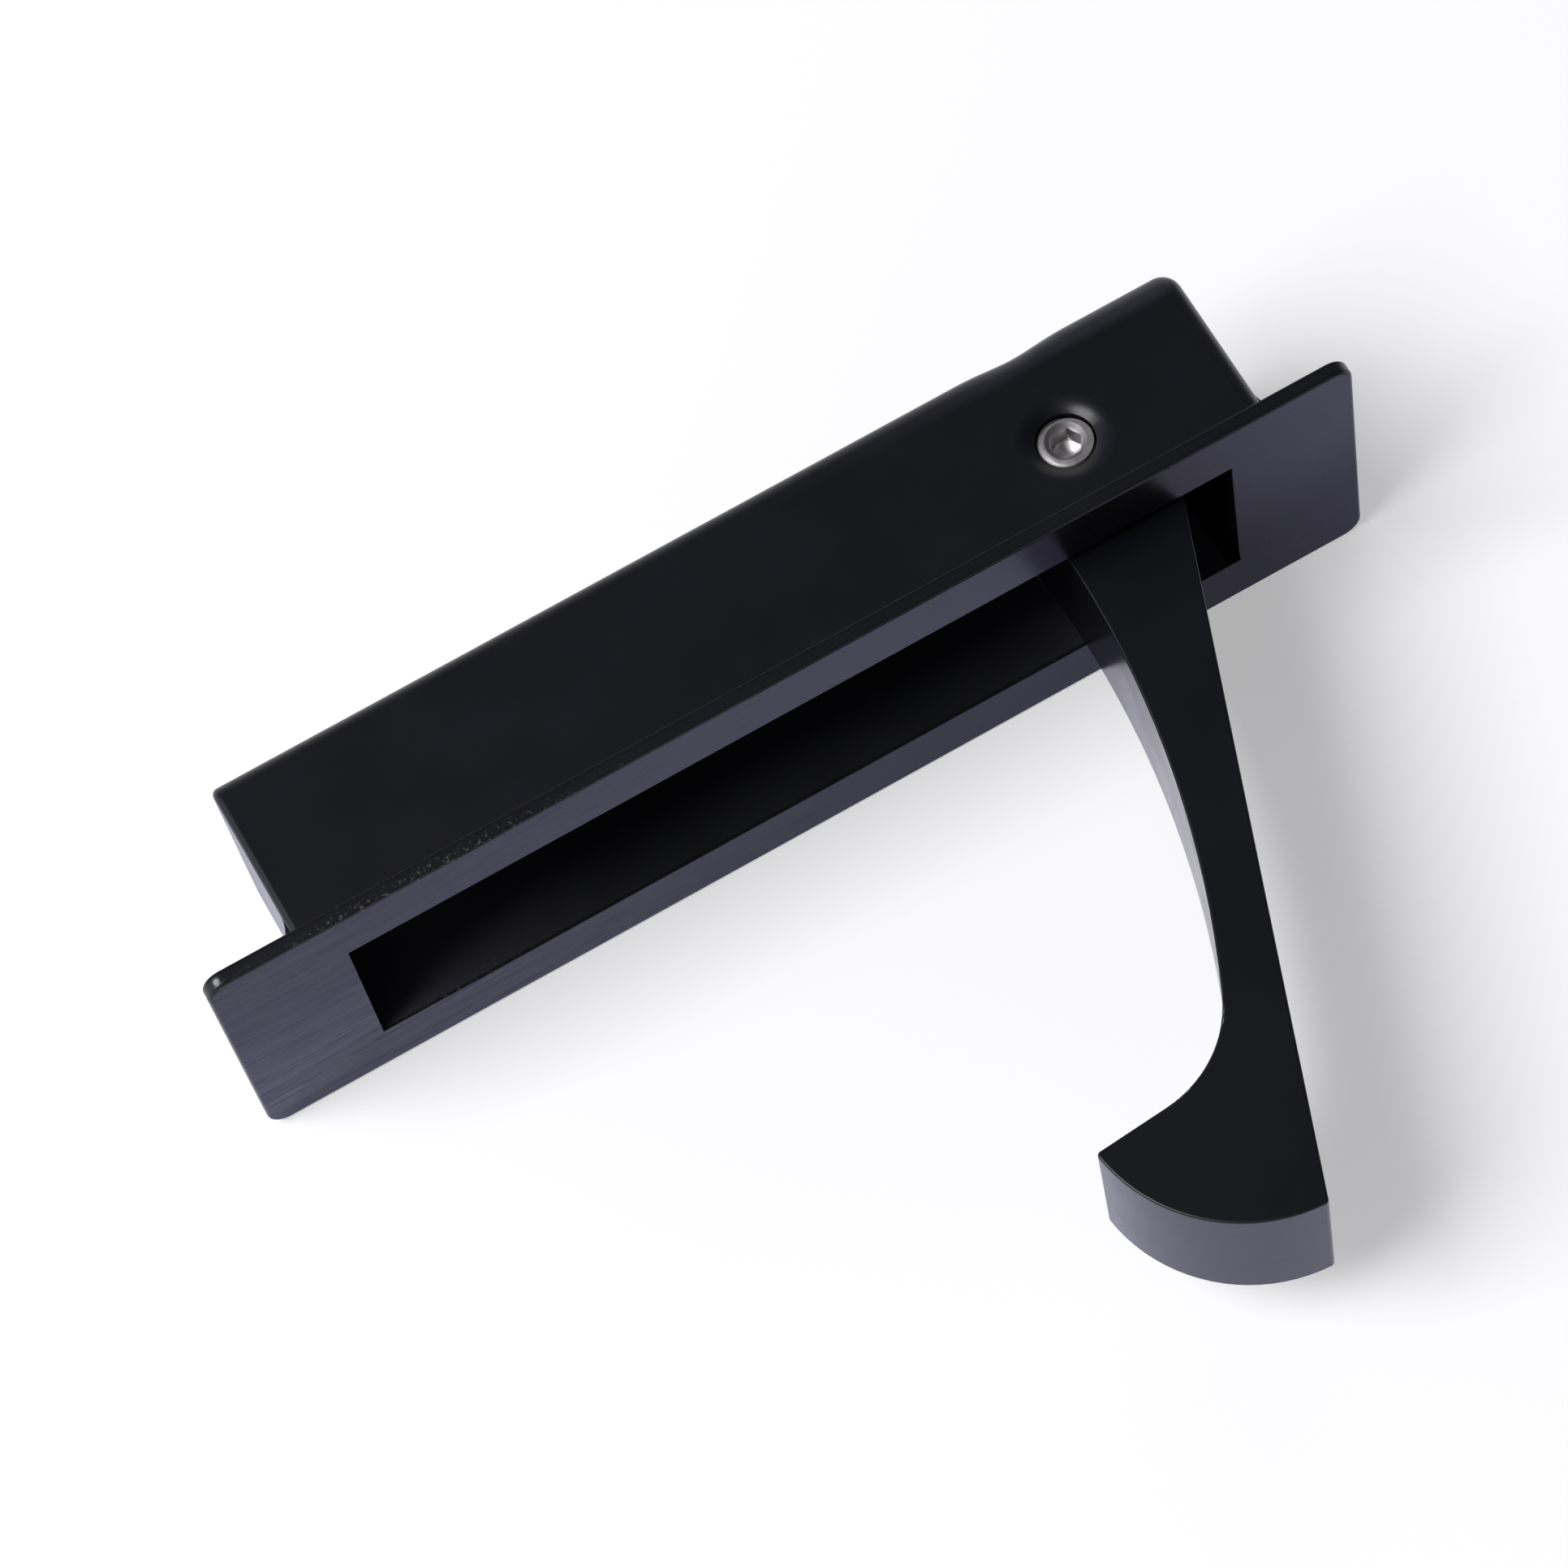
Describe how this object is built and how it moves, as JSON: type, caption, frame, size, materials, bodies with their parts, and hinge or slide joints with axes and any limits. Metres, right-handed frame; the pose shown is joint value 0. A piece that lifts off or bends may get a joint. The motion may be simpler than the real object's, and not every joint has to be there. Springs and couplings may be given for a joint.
{
  "type": "concealed cabinet pull",
  "caption": "Black recessed cabinet pull: a rimmed box let into the door, with a hooked lever that swings out of its slot on a set screw pivot.",
  "frame": {"origin": "middle of the plate's back face, the face that lies on the door", "axes": "+X along the plate towards the pivot end, +Y into the door, +Z along the pivot screw towards its socket"},
  "size_m": [0.105, 0.0763, 0.0286],
  "materials": {
    "black_casting": "satin black, front brushed along its length",
    "black_lever": "satin black, narrow faces brushed",
    "stainless": "turned stainless steel",
    "nylon": "black nylon"
  },
  "bodies": {
    "housing": {"housing": "black_casting", "pivot_screw": "stainless", "washer_upper": "nylon", "washer_lower": "nylon"},
    "lever": {"lever": "black_lever"}
  },
  "joints": [
    {"name": "lever_hinge", "type": "hinge", "parent": "housing", "child": "lever", "pos_m": [0.03035, 0.0072, 0], "axis": [0, 0, 1], "range_deg": [-70, 0]}
  ]
}
